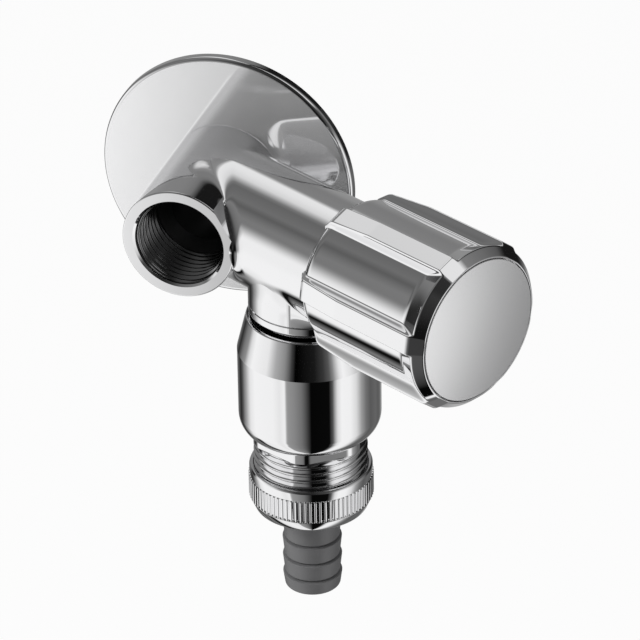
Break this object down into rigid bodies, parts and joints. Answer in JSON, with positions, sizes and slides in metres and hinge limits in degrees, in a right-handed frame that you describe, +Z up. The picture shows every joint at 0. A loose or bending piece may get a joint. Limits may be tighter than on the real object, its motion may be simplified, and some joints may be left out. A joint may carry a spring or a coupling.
{
  "type": "shut-off valve",
  "caption": "Chrome wall-mounted shut-off valve with front port, fluted side handle, aerator housing, knurled union nut and hose tail.",
  "frame": {"origin": "where the inlet axis meets the wall plane, at the back edge of the rosette", "axes": "+Y into the wall along the inlet thread, -Y into the room through the front port, +Z up, the outlet points down along -Z"},
  "size_m": [0.114, 0.0811, 0.1214],
  "materials": {
    "chrome": "polished plating",
    "brass": "machined",
    "rubber": "matt",
    "steel": "plain",
    "white_plastic": "moulded",
    "grey_plastic": "moulded satin"
  },
  "bodies": {
    "body": {"valve_body": "chrome", "wall_rosette": "chrome", "bonnet": "brass", "bonnet_gasket": "rubber", "aerator_housing": "chrome", "housing_gasket": "rubber", "vent_lip": "rubber", "check_cage": "white_plastic", "check_spring": "steel"},
    "handle_set": {"handle": "chrome", "handle_cap": "chrome", "handle_screw": "steel", "spindle": "brass", "spindle_ring_inner": "rubber", "spindle_ring_outer": "rubber", "spindle_clip": "steel"},
    "plunger_set": {"valve_plunger": "brass", "seat_washer": "rubber", "washer_screw": "steel"},
    "poppet_set": {"check_poppet": "white_plastic", "check_seal": "rubber"},
    "barb_set": {"hose_barb": "grey_plastic", "hose_washer": "rubber"},
    "nut": {"union_nut": "chrome"}
  },
  "joints": [
    {"name": "handle_turn", "type": "hinge", "parent": "body", "child": "handle_set", "pos_m": [0, -0.0131, 0], "axis": [0.891, -0.454, 0], "range_deg": [0, 1080]},
    {"name": "plunger_lift", "type": "slide", "parent": "body", "child": "plunger_set", "axis": [0.891, -0.454, 0], "range_m": [0, 0.00455]},
    {"name": "poppet_open", "type": "slide", "parent": "body", "child": "poppet_set", "axis": [0, 0, -1], "range_m": [0, 0.003], "stiffness_N_per_m": 100, "springref_m": -0.003, "deforming": ["check_spring"]},
    {"name": "barb_drop", "type": "slide", "parent": "body", "child": "barb_set", "axis": [0, 0, -1], "range_m": [0, 0.00907]},
    {"name": "nut_turn", "type": "hinge", "parent": "barb_set", "child": "nut", "pos_m": [0.02807, -0.0274, -0.0625], "axis": [0, 0, -1], "range_deg": [0, 1805]}
  ],
  "couplings": [
    {"joint": "plunger_lift", "follows": "handle_turn", "m_per_rad": 0.00023873},
    {"joint": "nut_turn", "follows": "barb_drop", "rad_per_m": 3463.7}
  ]
}
